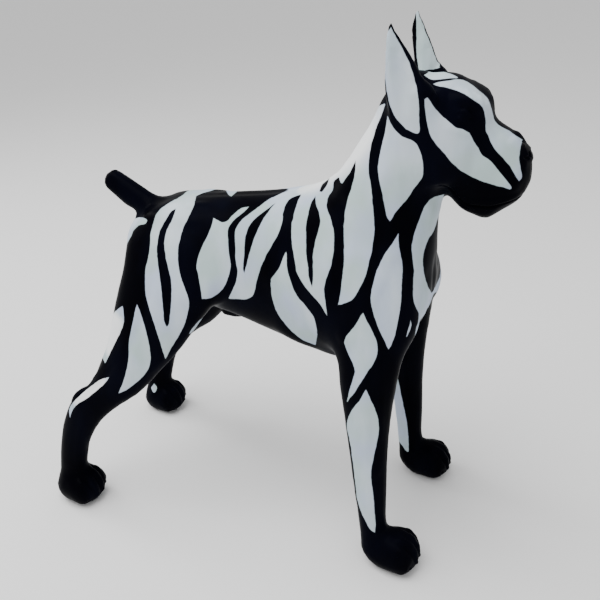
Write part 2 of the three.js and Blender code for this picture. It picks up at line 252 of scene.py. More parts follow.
def smooth(run, steps=5):
    """Points along a smooth curve through a run of places, without the last one."""
    p = np.array(run, float)
    p = np.vstack([2 * p[0] - p[1], p, 2 * p[-1] - p[-2]])
    t = np.arange(steps)[:, None] / steps
    spans = []
    for a, b, c, d in zip(p, p[1:], p[2:], p[3:]):
        bend = (2 * a - 5 * b + 4 * c - d) * t**2 + (3 * b - a - 3 * c + d) * t**3
        spans.append(b + 0.5 * ((c - a) * t + bend))
    return np.vstack(spans)


def seen(run):
    """A line on the dog's right side through a run of pixels: its places, and the way that the skin faces at each."""
    found = []
    for across, down in [*smooth(run), run[-1]]:
        sight = ahead + right * ((across - LENS_AXIS[0]) / FOCAL) - up * ((down - LENS_AXIS[1]) / FOCAL)
        place, facing = skin.ray_cast(eye_point, sight)[:2]
        if place:
            found.append([*place, *facing])
    return np.array(found)


def placed(run):
    """A line through the skin's nearest places to a run of points, and the way that the skin faces at each."""
    nearest = [skin.find_nearest(point)[:2] for point in [*smooth(run), run[-1]]]
    return np.array([[*place, *facing] for place, facing in nearest])


def spot_seen(pixel):
    """The place on the dog's right side at one pixel, and the way that the skin faces there."""
    return seen([pixel, pixel])[0]


def spot_placed(point):
    """The skin's nearest place to one point, and the way that it faces there."""
    return placed([point, point])[0]


def taken(agreement):
    """How much of a rise the skin takes, from how far it faces the same way as the line or the spot."""
    return np.clip(agreement * 2 + 0.2, 0, 1)


def raised(line, height, width, taper=0.2):
    """How much each point rises within `width` of a line, most in the middle and less towards the line's ends."""
    STEP = 0.0008
    CHUNK = 4000
    walk = np.r_[0, np.cumsum(np.linalg.norm(np.diff(line[:, :3], axis=0), axis=1))]
    even = np.arange(0, walk[-1] + STEP, STEP)
    spots = np.stack([np.interp(even, walk, column) for column in line.T], 1)
    share = even / even[-1]
    fade = np.sin(np.clip(np.minimum(share, 1 - share) / taper, 0, 1) * math.pi / 2)
    close = np.flatnonzero(
        np.all((half > spots[:, :3].min(0) - width) & (half < spots[:, :3].max(0) + width), axis=1)
    )
    rise = np.zeros(len(half))
    for chunk in np.array_split(close, len(close) // CHUNK + 1):
        gap = np.linalg.norm(half[chunk, None] - spots[None, :, :3], axis=2)
        nearest = gap.argmin(1)
        nearness = np.clip(1 - (gap.min(1) / width) ** 2, 0, 1) ** 2
        same_way = taken((half_facing[chunk] * spots[nearest, 3:]).sum(1))
        rise[chunk] = height * fade[nearest] * nearness * same_way
    return rise


def dab(spot, height, width):
    """How much each point rises round one spot, a place and the way that the skin faces there."""
    gap = np.linalg.norm(half - spot[:3], axis=1)
    nearness = np.clip(1 - (gap / width) ** 2, 0, 1) ** 2
    return height * nearness * taken(half_facing @ spot[3:])


def halves(points, normals):
    """Points and facings with the left half turned over onto the right."""
    flip = np.where(points[:, 1] > 0, -1.0, 1.0)[:, None] * (0, 1, 0) + (1, 0, 1)
    return points * flip, normals * flip


half, half_facing = halves(points, normals)
EYE = (464.7, 116.7)
EYE_RADIUS = 0.0088
EYE_HEIGHT = 0.0040
EYE_SWELL = 0.7  # the power that makes the ball full
EYELIDS = [
    [(456, 115), (460, 111.3), (464.5, 110.6), (469.5, 113.2), (473.5, 119.8)],
    [(456, 115.5), (459.5, 119.3), (464, 122.2), (468.7, 122.6), (473.5, 120.2)],
]
BROW = [(447, 103), (456, 99.5), (466, 100), (476, 104), (483, 112)]
NOSE = np.array((0.3835, 0.0, 0.6595))
NOSE_SLOPE = np.array((0.43, 0.0, -0.90))  # down the front of the nose
NOSE_PAD = (0.0215, 0.0155)  # half width, half height
NOSE_HEIGHT = 0.0022
NOSE_EDGE = 3.5  # how steeply the pad rises at its rim
MOUTH = [
    (0.392, 0.0, 0.600), (0.385, -0.020, 0.597), (0.366, -0.040, 0.592), (0.338, -0.050, 0.586),
    (0.312, -0.050, 0.586), (0.290, -0.050, 0.597), (0.272, -0.050, 0.614),
]
PAWS = [(0.2379, -0.122), (-0.3471, -0.152)]
TOES = (-1.5, -0.5, 0.5, 1.5)  # across a paw, in pitches
TOE_PITCH = 0.0171
TOE_ARC = 0.0036  # how far the outer toes stand back
CLAW_AHEAD = 0.046
CLAW_UP = 0.019
FINE_EYE = 0.024  # faces are split again this near to the eye, the nose, the mouth and a claw
FINE_NOSE = 0.030
FINE_MOUTH = 0.007
FINE_CLAW = 0.0075

eye = spot_seen(EYE)
mouth = placed(MOUTH)
claws = [
    spot_placed((x + CLAW_AHEAD - TOE_ARC * toe**2, y + TOE_PITCH * toe, CLAW_UP))
    for x, y in PAWS for toe in TOES
]
fine = np.linalg.norm(half - eye[:3], axis=1) < FINE_EYE
fine |= np.linalg.norm(half - NOSE, axis=1) < FINE_NOSE
fine |= raised(mouth, height=1.0, width=FINE_MOUTH) > 0
for claw in claws:
    fine |= np.linalg.norm(half - claw[:3], axis=1) < FINE_CLAW
points = refined(casting, fine)
normals = write_points(casting, points)
half, half_facing = halves(points, normals)

# Eye: a ball in a shallow socket, between two lids, under the brow
relief = dab(eye, height=-0.0026, width=0.016)
round_eye = np.clip(1 - (np.linalg.norm(half - eye[:3], axis=1) / EYE_RADIUS) ** 2, 0, 1) ** EYE_SWELL
relief += EYE_HEIGHT * round_eye * (half_facing @ eye[3:] > 0.3)
for lid in EYELIDS:
    relief += raised(seen(lid), height=0.0017, width=0.0036, taper=0.3)
relief += raised(seen(BROW), height=0.0026, width=0.011, taper=0.3)
cheekbone = [(445, 126), (455, 131), (465, 133), (474, 132)]
relief += raised(seen(cheekbone), height=0.0012, width=0.008)

# Nose: a raised pad with two nostrils, and the groove from it down to the mouth
off_nose = half - NOSE
down_nose = off_nose @ NOSE_SLOPE
pad = np.hypot(off_nose[:, 1] / NOSE_PAD[0], down_nose / NOSE_PAD[1])
relief += NOSE_HEIGHT * np.clip((1 - pad) * NOSE_EDGE, 0, 1) * (half[:, 0] > 0.36)
nostril = spot_placed(NOSE + (0, -0.0095, 0) + NOSE_SLOPE * 0.002)
relief += dab(nostril, height=-0.0050, width=0.0052)
wing = [NOSE + (0, -0.0105, 0) + NOSE_SLOPE * 0.002, NOSE + (-0.004, -0.0165, 0) + NOSE_SLOPE * 0.005,
        NOSE + (-0.008, -0.0205, 0) + NOSE_SLOPE * 0.005]
relief += raised(placed(wing), height=-0.0026, width=0.0032, taper=0.5)
groove = [NOSE + NOSE_SLOPE * 0.010, (0.394, 0.0, 0.632), (0.396, 0.0, 0.616), (0.392, 0.0, 0.602)]
relief += raised(placed(groove), height=-0.0024, width=0.0032, taper=0.1)

# Mouth: the line between the lips, with the upper lip hanging over it, the whisker pad, and the muzzle's ridge
relief += raised(mouth, height=-0.0036, width=0.0036, taper=0.25)
lip = [(x, y, z + 0.0085) for x, y, z in MOUTH[1:-1]]
relief += raised(placed(lip), height=0.0022, width=0.009, taper=0.3)
whisker_pad = spot_placed((0.372, -0.045, 0.628))
relief += dab(whisker_pad, height=0.0022, width=0.024)
bridge = [(0.362, -0.016, 0.684), (0.371, -0.016, 0.677), (0.380, -0.014, 0.667)]
relief += raised(placed(bridge), height=0.0036, width=0.018, taper=0.35)
jaw_edge = [(428, 124), (434, 140), (444, 156), (456, 168)]
relief += raised(seen(jaw_edge), height=0.0016, width=0.010, taper=0.4)

# Ears: a shallow cup in the outward face of each, inside a rim. The right one stands further forward in the middle.
RIGHT_EAR_OUT = 0.0042
RIGHT_EAR_MIDDLE = 0.765
RIGHT_EAR_SPAN = 0.055

cup = [(0.238, -0.080, 0.716), (0.231, -0.085, 0.745), (0.225, -0.085, 0.775), (0.221, -0.085, 0.803)]
relief += raised(placed(cup), height=-0.0042, width=0.0145, taper=0.45)
fold = [(0.262, -0.075, 0.690), (0.258, -0.080, 0.715), (0.252, -0.080, 0.745), (0.243, -0.080, 0.775)]
relief += raised(placed(fold), height=0.0016, width=0.006, taper=0.4)
foot = [(0.243, -0.064, 0.758), (0.256, -0.060, 0.746), (0.270, -0.055, 0.740), (0.284, -0.050, 0.738)]
relief += raised(placed(foot), height=0.0090, width=0.020, taper=0.4)
front_edge = np.clip(normals[:, 0] * 2.5 - 0.6, 0, 1) * (points[:, 1] < -EAR_INSIDE)
off_middle = (points[:, 2] - RIGHT_EAR_MIDDLE) / RIGHT_EAR_SPAN
relief += RIGHT_EAR_OUT * front_edge * np.clip(1 - off_middle ** 2, 0, 1)

# Muscles and tendons, each a line of pixels with its height and its width: neck, shoulder and front leg
SINEWS = [
    ([(424, 186), (419, 200), (415, 214), (411, 228)], -0.0020, 0.012),
    ([(412, 172), (420, 190), (428, 208), (434, 222)], 0.0018, 0.012),
    ([(392, 150), (384, 175), (376, 200), (366, 222)], 0.0014, 0.016),
    ([(333, 190), (346, 212), (362, 236), (380, 258)], 0.0022, 0.013),
    ([(350, 206), (345, 235), (340, 268), (337, 300), (336, 322)], -0.0028, 0.013),
    ([(385, 262), (378, 285), (368, 305), (356, 322)], 0.0020, 0.014),
    ([(404, 240), (408, 262), (408, 290), (402, 315)], -0.0018, 0.011),
    ([(352, 330), (360, 350), (364, 375), (366, 400)], 0.0016, 0.012),
    ([(378, 345), (381, 375), (381, 410), (380, 450)], 0.0014, 0.009),
    ([(371, 400), (373, 430), (374, 460)], -0.0012, 0.007),
    ([(366, 470), (373, 474), (381, 472)], 0.0016, 0.010),
    ([(368, 505), (374, 510), (381, 509)], 0.0010, 0.008),
]
# Trunk: the last ribs, the flank's fold and the tuck of the belly
SINEWS += [
    ([(282, 222), (284, 250), (290, 282), (300, 312)], 0.0012, 0.011),
    ([(264, 226), (264, 250), (268, 280), (276, 306)], 0.0012, 0.011),
    ([(246, 228), (244, 252), (247, 278), (254, 300)], 0.0011, 0.011),
    ([(300, 222), (303, 252), (310, 288), (318, 318)], 0.0010, 0.011),
    ([(224, 262), (222, 285), (214, 304), (204, 318)], -0.0020, 0.014),
    ([(212, 205), (190, 206), (172, 214)], 0.0022, 0.015),
    ([(274, 321), (289, 333), (303, 340), (316, 345)], 0.0045, 0.035),
]
# Thigh and hock
SINEWS += [
    ([(176, 225), (182, 255), (190, 285), (192, 310)], 0.0018, 0.018),
    ([(152, 250), (150, 285), (143, 315), (130, 345), (116, 366)], -0.0024, 0.012),
    ([(176, 335), (166, 352), (152, 368), (136, 382)], 0.0018, 0.012),
    ([(118, 362), (104, 378), (90, 392), (78, 404)], -0.0022, 0.008),
    ([(106, 362), (94, 378), (82, 392), (72, 404)], 0.0016, 0.006),
    ([(84, 412), (80, 430), (78, 450), (78, 470)], 0.0012, 0.007),
    ([(92, 412), (88, 432), (86, 455)], -0.0012, 0.006),
]
# Swellings, each a pixel with its height and its width: elbow, knee and hock
SWELLINGS = [((345, 338), 0.0030, 0.020), ((188, 322), 0.0026, 0.026), ((78, 396), 0.0058, 0.028)]
for run, height, width in SINEWS:
    relief += raised(seen(run), height, width, taper=0.4)
for pixel, height, width in SWELLINGS:
    relief += dab(spot_seen(pixel), height, width)
under_tail = [(-0.310, 0, 0.585), (-0.296, 0, 0.570), (-0.282, 0, 0.558), (-0.266, 0, 0.543), (-0.244, 0, 0.520)]
relief += raised(placed(under_tail), height=0.0075, width=0.028, taper=0.3)

# Middle line, seen from in front, above and behind: breastbone, spine, and the cleft below the tail
MIDDLE = [
    ([(0.300, 0, 0.500), (0.315, 0, 0.455), (0.300, 0, 0.400), (0.262, 0, 0.345)], -0.0024, 0.015),
    ([(0.140, 0, 0.620), (0.080, 0, 0.600), (0.0, 0, 0.580), (-0.100, 0, 0.565), (-0.180, 0, 0.555)], -0.0014, 0.013),
    ([(-0.250, 0, 0.500), (-0.262, 0, 0.460), (-0.250, 0, 0.415)], -0.0040, 0.018),
]
for run, height, width in MIDDLE:
    relief += raised(placed(run), height, width, taper=0.3)

# Paws: grooves between four toes, a knuckle on each, and a short claw
KNUCKLE_AHEAD = 0.030
KNUCKLE_UP = 0.050
KNUCKLE_CLOSER = 0.95  # the knuckles stand a little closer together than the claws

for x, y in PAWS:
    for gap in (-1, 0, 1):
        across = y + TOE_PITCH * gap
        run = [(x + 0.050, across, 0.010), (x + 0.044, across, 0.030), (x + 0.026, across * 0.97 + y * 0.03, 0.052),
               (x + 0.008, across * 0.9 + y * 0.1, 0.064)]
        relief += raised(placed(run), height=-0.0036, width=0.0058, taper=0.35)
    for toe in TOES:
        knuckle = (x + KNUCKLE_AHEAD - TOE_ARC * toe**2, y + TOE_PITCH * toe * KNUCKLE_CLOSER, KNUCKLE_UP)
        relief += dab(spot_placed(knuckle), height=0.0018, width=0.011)
for claw in claws:
    relief += dab(claw, height=0.0022, width=0.0052)
    relief += dab(claw, height=-0.0008, width=0.0085)

on_sole = points[:, 2] < SOLE
relief[on_sole] = 0.0
lowest, highest = np.array(cad_box[0]), np.array(cad_box[1])
points = np.clip(points + normals * relief[:, None], lowest, highest)
points[on_sole, 2] = 0.0
points[~on_sole, 2] = np.maximum(points[~on_sole, 2], SOLE * 0.5)
normals = write_points(casting, points)

# Dog: the zebra stripes
# Two coats by hand: black all over, then pale leaves with pointed ends, and black darts inside some of them.
# Outlines are pixels of the photograph, thrown onto the right side, and the left side gets the same ones mirrored.


def leaf(*runs):
    """A closed outline of smooth runs. Each starts at a corner, and ends where the next one starts."""
    return np.vstack([smooth([*run, after[0]]) for run, after in zip(runs, [*runs[1:], runs[0]])])


def inside(outline, at, reach=8.0):
    """How far each place lies inside an outline, in its own unit: below nothing outside it, never below -reach."""
    depth = np.full(len(at), -reach)
    close = np.all((at > outline.min(0) - reach) & (at < outline.max(0) + reach), axis=1)
    spots = at[close]
    nearest = np.full(len(spots), reach * reach)
    within = np.zeros(len(spots), bool)
    for start, end in zip(outline, np.roll(outline, -1, axis=0)):
        side = end - start
        off = spots - start
        share = np.clip(off @ side / max(side @ side, 1e-9), 0, 1)
        gap = off - share[:, None] * side
        nearest = np.minimum(nearest, (gap * gap).sum(1))
        crosses = (start[1] > spots[:, 1]) != (end[1] > spots[:, 1])
        if start[1] != end[1]:
            where = start[0] + (spots[:, 1] - start[1]) * side[0] / side[1]
            within ^= crosses & (spots[:, 0] < where)
    distance = np.sqrt(nearest)
    depth[close] = np.where(within, distance, np.maximum(-distance, -reach))
    return depth


NEAR_EAR = leaf(
    [(391, 27), (396, 37), (402.5, 49), (409.5, 63.5), (415, 81), (418.5, 100), (419, 117), (418.5, 133)],
    [(406, 129), (394, 115), (388, 97), (385, 76), (384, 50), (385.5, 36)],
)
CHEEK = leaf(
    [(427, 97.5), (429, 99.5), (434, 107), (441, 115), (448, 121), (455, 127), (463, 129.5), (469, 132.5)],
    [(469.5, 133), (473, 140), (478, 148), (482, 155), (488, 159), (495, 166), (502, 175), (508, 182.5),
     (511.5, 187.5)],
    [(510, 189.5), (502, 187), (492, 184.5), (481.5, 181), (471.5, 176.5), (461, 170.5), (451, 162), (444, 153),
     (436.5, 144.5), (430.5, 135.5), (427.5, 125), (426, 115), (424.5, 101)],
)
BROW_TO_MUZZLE = leaf(
    [(433, 84), (439, 82), (448, 81), (457, 79.5), (466, 81), (473, 85.5), (480, 91.5), (486, 97), (490, 104),
     (492.5, 112), (494.5, 120), (500, 126), (510, 131.5), (521, 139)],
    [(520.5, 148), (519, 158), (520.5, 168), (522, 177)],
    [(519, 181.5), (514.5, 174), (510, 166), (502, 157), (494, 148), (489, 137.5), (486, 129.5), (485.5, 119),
     (484, 111), (480.5, 105), (473.5, 100), (463.5, 93.5), (453, 89.5), (444, 87), (438, 86)],
)
FOREHEAD_SLIVER = leaf(
    [(424, 75), (432, 71), (443, 71.5), (452, 74), (458, 77.5)],
    [(452, 78), (446, 78.8), (437, 79.5), (430, 79)],
)
NECK_DIAMOND = leaf(
    [(387.5, 116), (393, 127.5), (402, 136.5), (413, 141), (418.5, 148), (422, 158), (423, 168.5), (421.5, 178.5),
     (414.5, 187.5), (407, 199), (398, 209)],
    [(390, 221), (386.5, 215.5), (384, 203), (381.5, 190), (379, 177.5), (378, 167), (380, 154.5), (383, 140.5),
     (386, 127.5)],
)
SHOULDER_STRIPE = leaf(
    [(384, 108), (377.5, 120), (374, 135), (371, 145.5), (369, 158), (368.5, 171), (370.5, 184), (372, 196.5),
     (373, 209), (374.5, 224.5), (373.5, 237.5), (372, 250), (368.5, 264), (365, 277), (359.5, 288.5), (353.5, 298.5),
     (347, 302.5)],
    [(338, 305), (339.5, 298.5), (341, 288.5), (342.5, 277), (344, 264), (344, 251.5), (344, 238.5), (344, 224.5),
     (345, 212), (347, 203), (349.5, 194), (352.5, 184), (355, 173.5)],
    [(356, 161), (362, 140), (372, 120)],
)
WITHERS = leaf(
    [(290, 190), (296, 183), (318, 174), (335, 162), (352, 145), (370, 114), (384, 104)],
    [(384, 108), (372, 138), (360, 165), (352, 180), (344, 192), (334, 198), (327, 202), (316, 206), (304, 204),
     (292, 200), (282, 198)],
)
RIB_STRIPE = leaf(
    [(292, 189), (279, 194.5), (268.5, 199.5), (259.5, 206), (252, 212), (243, 218.5), (237, 226.5), (235, 234),
     (235.5, 246.5), (236, 261), (237.5, 273.5), (235.5, 283.5), (231.5, 292.5)],
    [(228.5, 298.5), (237, 299), (247, 299), (253.5, 294), (257, 280), (261, 267), (266, 255.5), (272.5, 244),
     (278, 234), (281.5, 224), (283.5, 214), (286, 204), (291, 198)],
)
SHOULDER_RIB_STRIPE = leaf(
    [(304, 194), (298, 201.5), (294.5, 212), (292, 222), (291.5, 235), (292.5, 247.5), (294.5, 259), (296.5, 270.5),
     (301, 280.5), (308.5, 291), (319, 302.5)],
    [(327, 315.5), (325.5, 303.5), (324, 291), (326, 279.5), (330.5, 266.5), (333, 255), (334, 241), (333.5, 228.5),
     (330.5, 218), (327, 209), (326.5, 199)],
)
LOWER_RIB_LEAF = leaf(
    [(286.5, 250.5), (286.5, 260.5), (287.5, 270.5), (291, 282), (296, 294.5), (303.5, 303.5), (310, 311.5),
     (315, 321), (317, 333)],
    [(315.5, 345), (303, 340), (290.5, 330), (282, 320), (276.5, 311), (273, 301), (271, 289.5)],
    [(271, 279), (277.5, 270.5), (282.5, 260)],
)
FLANK_LEAF = leaf(
    [(213.5, 218), (217.5, 220), (222.5, 222.5), (228, 220.5), (233, 215), (240.5, 208.5)],
    [(249, 206.5), (243, 212.5), (235.5, 218.5), (230.5, 224), (228, 230), (228, 241.5), (229, 254.5), (230.5, 267),
     (228, 277.5), (224, 286.5), (217.5, 294), (210, 298)],
    [(202, 299), (200.5, 287.5), (198.5, 276), (196.5, 266), (199, 254.5), (203.5, 244), (208.5, 234), (212, 225)],
)
RUMP_STRIPE = leaf(
    [(181, 192.5), (179.5, 197), (166.5, 204.5), (157.5, 212.5), (153, 224), (150.5, 236.5), (150, 246.5),
     (148.5, 257), (145.5, 269.5), (145, 282.5), (146, 295), (150, 310.5), (154, 323.5), (159, 338.5), (162.5, 350)],
    [(165.5, 359), (171.5, 347.5), (179.5, 334.5), (184.5, 324.5), (187.5, 313), (189, 303), (187, 294),
     (183, 283.5), (179.5, 272), (178, 261), (178, 249.5), (180, 239), (183.5, 227.5), (189.5, 215), (193.5, 206),
     (195.5, 198), (196.5, 192)],
)
UNDER_TAIL = leaf(
    [(133, 219), (141, 217.5), (147, 220)],
    [(145, 224), (138.5, 225.5), (133.5, 230.5), (130.5, 237), (127, 242)],
)
THIGH_LEAF = leaf(
    [(137, 304), (141, 314.5), (145, 328), (148.5, 342), (150.5, 355), (149.5, 365), (145.5, 373.5), (137, 382),
     (127, 389.5)],
    [(118.5, 393.5), (123.5, 381), (126.5, 370), (129, 356.5), (129, 342), (131.5, 329.5), (134, 316)],
)
REAR_THIGH_STRIP = leaf(
    [(122.5, 306), (124, 320), (120.5, 332), (114.5, 344), (109, 355.5)],
    [(105, 363), (101, 352), (103, 338), (107, 325), (114, 313)],
)
HOCK_STRIP = leaf(
    [(109.5, 377), (104, 384), (95.5, 391.5), (86.5, 398.5), (77, 404.5), (72.5, 410)],
    [(70, 417.5), (69, 411), (71, 405.5), (76, 399.5), (83, 393), (92, 385.5), (101, 379.5)],
)
FLANK_SLIVER = leaf([(206.5, 315), (199, 325), (189.5, 334)], [(191, 330), (198.5, 321.5)])
FRONT_SHOULDER_LEAF = leaf(
    [(398.5, 233.5), (398.5, 243.5), (400.5, 255), (402.5, 266.5), (402, 279.5), (401.5, 292), (400.5, 305),
     (398.5, 317), (395.5, 333), (391, 345)],
    [(388.5, 349.5), (382.5, 336.5), (378, 327), (373.5, 313.5), (371, 300.5), (372, 289), (375, 277), (379, 265.5),
     (385, 254), (393, 242.5)],
)
CHEST_BAND = leaf(
    [(444, 194.5), (441.5, 206.5), (437.5, 219.5), (433.5, 231), (427.5, 241), (423.5, 252.5), (423, 265.5),
     (425, 278), (428.5, 288), (434, 296), (438, 302), (436, 309), (430, 316), (424, 325)],
    [(415, 335.5), (416.5, 328), (418.5, 320), (419, 313.5), (416, 307.5), (413.5, 300.5), (413, 285), (414, 270.5),
     (412.5, 258), (412, 245), (414.5, 233.5), (419.5, 219.5), (424.5, 206.5), (432.5, 198)],
)
CHEST_SLIVER = leaf([(410.5, 320), (411.5, 326), (407, 336)], [(406.5, 336), (409, 327)])
FORELEG_DIAMOND = leaf(
    [(363, 313), (367.5, 322.5), (373.5, 334), (377, 344.5), (377, 354.5), (373, 364), (367.5, 372), (361, 382),
     (355, 391.5)],
    [(347, 402), (349.5, 390), (353, 379), (355, 370.5), (351.5, 360.5), (347, 351)],
    [(344, 342), (347, 335), (355, 326), (359.5, 318)],
)
FORELEG_LEAF = leaf(
    [(366, 389), (371, 400.5), (376, 412), (378.5, 422), (378.5, 432), (376.5, 444), (373.5, 457.5), (371, 471),
     (371.5, 483), (373.5, 497.5), (374.5, 512.5), (375.5, 526)],
    [(375, 533), (369.5, 528.5), (365, 519.5), (360.5, 510), (357, 497.5), (355, 480), (353, 462), (350, 442),
     (347, 428), (348, 419), (353, 408.5), (360, 400)],
)
NEAR_PALE = [
    NEAR_EAR, CHEEK, BROW_TO_MUZZLE, FOREHEAD_SLIVER, NECK_DIAMOND, SHOULDER_STRIPE, WITHERS, RIB_STRIPE,
    SHOULDER_RIB_STRIPE, LOWER_RIB_LEAF, FLANK_LEAF, RUMP_STRIPE, UNDER_TAIL, THIGH_LEAF, REAR_THIGH_STRIP,
    HOCK_STRIP, FLANK_SLIVER, FRONT_SHOULDER_LEAF, CHEST_BAND, CHEST_SLIVER, FORELEG_DIAMOND, FORELEG_LEAF,
]
SHOULDER_DART = leaf(
    [(356, 160), (355, 173.5), (352.5, 184), (349.5, 194), (347, 203), (345, 212), (344, 224)],
    [(338, 228), (333.5, 228.5), (330.5, 218), (327, 209), (327, 200), (330, 194), (333, 189), (333.5, 181.5)],
    [(339, 177), (340.5, 182)],
    [(342, 184), (347, 176.5), (351, 170.5), (354.5, 162.5)],
)
WITHERS_DART = leaf([(329.5, 178.5), (327, 184.5), (322.5, 191.5)], [(319.5, 191.5), (321.5, 185)])
RIB_CHANNEL_DART = leaf(
    [(301, 194.5), (298, 201.5), (294.5, 212), (292, 222)],
    [(286, 222), (282.5, 217), (284, 209), (287, 202.5), (291, 198)],
)
SHOULDER_RIB_DART = leaf(
    [(315.5, 196), (316, 204), (318.5, 211), (320.5, 222), (318, 232), (315, 243.5), (313, 255), (313, 267),
     (313, 279.5)],
    [(312, 287.5), (308.5, 275.5), (307.5, 264), (306, 251.5), (306, 238.5), (306, 226), (308, 214.5), (311, 203)],
)
RIB_DART = leaf(
    [(275.5, 203), (271, 208.5), (264.5, 217.5), (259, 227.5), (254, 239), (250.5, 249.5), (248, 259.5)],
    [(244.5, 273.5), (243, 269.5), (243.5, 259.5), (244.5, 249.5), (245, 239), (247.5, 229), (253, 220.5),
     (261, 213.5), (268.5, 208)],
)
RUMP_DART = leaf(
    [(176, 208.5), (172.5, 219), (167, 230), (164.5, 241.5), (165.5, 254.5), (168, 267), (171, 280), (171.5, 298),
     (170.5, 310.5), (169, 324)],
    [(166.5, 327), (164, 321), (163, 309), (161.5, 293), (159, 272), (157, 254.5), (157.5, 241.5), (160, 230),
     (165.5, 220), (171, 211.5)],
)
NEAR_DARK = [SHOULDER_DART, WITHERS_DART, RIB_CHANNEL_DART, SHOULDER_RIB_DART, RIB_DART, RUMP_DART]

# The inner sides of the far ear and the far legs, seen past the near ones
FAR_EAR = leaf(
    [(416, 4), (421.5, 16), (427, 30), (432, 43), (437, 57), (441, 66)],
    [(433, 69.5), (426, 70), (420, 71.5), (417.5, 60), (416.5, 45), (416.5, 26)],
)
FAR_FORELEG_STRIP = leaf(
    [(394.5, 360), (396.5, 372), (400, 389), (403.5, 406.5), (407, 423.5), (408.5, 441), (408, 452)],
    [(401, 444), (395, 435), (390, 428), (391, 418), (393, 406), (393.5, 395), (392, 381), (390.5, 369)],
)
FAR_HOCK_SPOT = leaf([(154, 383.5), (157, 388), (154, 392.5)], [(151, 388)])
FAR_PALE = [FAR_EAR, FAR_FORELEG_STRIP, FAR_HOCK_SPOT]

# Paint beyond the middle line of the loin, the forehead and the muzzle, for the left side alone
OVER_PALE = [leaf([(223, 184), (233, 181), (243, 184)], [(231.5, 196.5), (228.5, 194.5)])]
OVER_DARK = [
    leaf([(444, 72), (452, 74.5), (459, 77.5), (466, 80.5), (473, 85), (480, 91), (486, 96.5), (490, 103.5),
          (492.5, 112), (494.5, 120), (500, 126), (510, 131.5), (521, 139)],
         [(534, 146), (528, 126), (510, 112), (502, 90), (484, 74), (460, 62)]),
]

# A dark patch on the left of the chest, in millimetres across and up
FRONT_DARK = leaf(
    [(-2, 545), (14, 541), (34, 530), (54, 512), (70, 488), (78, 464), (74, 442), (60, 428)],
    [(40, 424), (20, 432), (-2, 441)],
)

# Guessed leaves on the buttocks and the backs of the thighs, in millimetres across and up
BACK_PALE = [
    leaf([(-15, 502), (-32, 507), (-52, 501), (-65, 487), (-69, 470), (-64, 452), (-67, 426), (-80, 396)],
         [(-90, 366), (-76, 382), (-60, 398), (-44, 416), (-30, 440), (-20, 470)]),
    leaf([(-98, 350), (-110, 338), (-121, 312), (-128, 284)], [(-131, 256), (-120, 276), (-110, 300), (-102, 326)]),
]

# A leaf ends in a soft line where the skin turns away from the view, further round where it faces up or forward.
# The limits say how squarely the skin faces a way, from 1 straight on to 0 edge on, and TURN how many pixels of paint
# that is worth.
TURN = 12.0
TURN_AWAY = -0.03
TURN_FURTHER = 0.32
FAR_LIMIT = -0.35
FRONT_LIMIT = 0.2
BACK_LIMIT = 0.35
BACK_TURN = 24.0  # the same, in millimetres, for the leaves at the back
BELOW_LIMIT = 0.35  # the chest is black underneath, ahead of CHEST_FROM and below CHEST_TO
CHEST_FROM = 0.14
CHEST_TO = 0.42
OVER_PALE_PAST = 2  # pixels of paint beyond the last skin in view
OVER_DARK_PAST = 1
METRIC_REACH = 12.0  # millimetres round an outline that is drawn in millimetres


def paint_depth(points, normals):
    """How many millimetres each point lies inside the pale coat: below nothing on the black one."""
    half, half_facing = halves(points, normals)
    sight = np.array(eye_point) - half
    distance = np.linalg.norm(sight, axis=1)
    toward = (half_facing * sight).sum(1) / distance
    near = pixels(half)
    pale = np.max([inside(outline, near) for outline in NEAR_PALE], axis=0)
    limit = TURN_AWAY - TURN_FURTHER * np.clip(half_facing[:, [0, 2]].max(1) * 2, 0, 1)
    pale = np.minimum(pale, (toward - limit) * TURN)
    below = (half_facing[:, 2] + BELOW_LIMIT) * TURN
    on_chest = (half[:, 0] > CHEST_FROM) & (half[:, 2] < CHEST_TO)
    pale = np.where(on_chest, np.minimum(pale, below), pale)
    for dart in NEAR_DARK:
        pale = np.minimum(pale, -inside(dart, near))
    far = pixels(half * (1, -1, 1))
    far_pale = np.max([inside(outline, far) for outline in FAR_PALE], axis=0)
    pale = np.maximum(pale, np.minimum(far_pale, (FAR_LIMIT + half_facing[:, 1]) * TURN))

    own = pixels(points)
    shows = (normals * (np.array(eye_point) - points)).sum(1) / distance * TURN
    for outline in OVER_PALE:
        pale = np.maximum(pale, np.minimum(inside(outline, own), shows + OVER_PALE_PAST))
    for outline in OVER_DARK:
        pale = np.minimum(pale, np.maximum(-inside(outline, own), -shows - OVER_DARK_PAST))
    front = inside(FRONT_DARK, points[:, 1:] * 1000, METRIC_REACH)
    pale = np.minimum(pale, np.maximum(-front, (FRONT_LIMIT - normals[:, 0]) * TURN))

    depth = pale * distance / FOCAL * 1000
    across = half[:, 1:] * 1000
    back_pale = np.max([inside(outline, across, METRIC_REACH) for outline in BACK_PALE], axis=0)
    back_pale = np.minimum(back_pale, (-half_facing[:, 0] - BACK_LIMIT) * BACK_TURN)
    return np.where(half[:, 0] < 0, np.maximum(depth, back_pale), depth)


# Where a straight guess between two corners would miss a thin line or a leaf's end, the faces are split again.
MISS = 0.3  # millimetres
EDGE = 2.5  # millimetres from the paint's edge
ROUNDS = 3

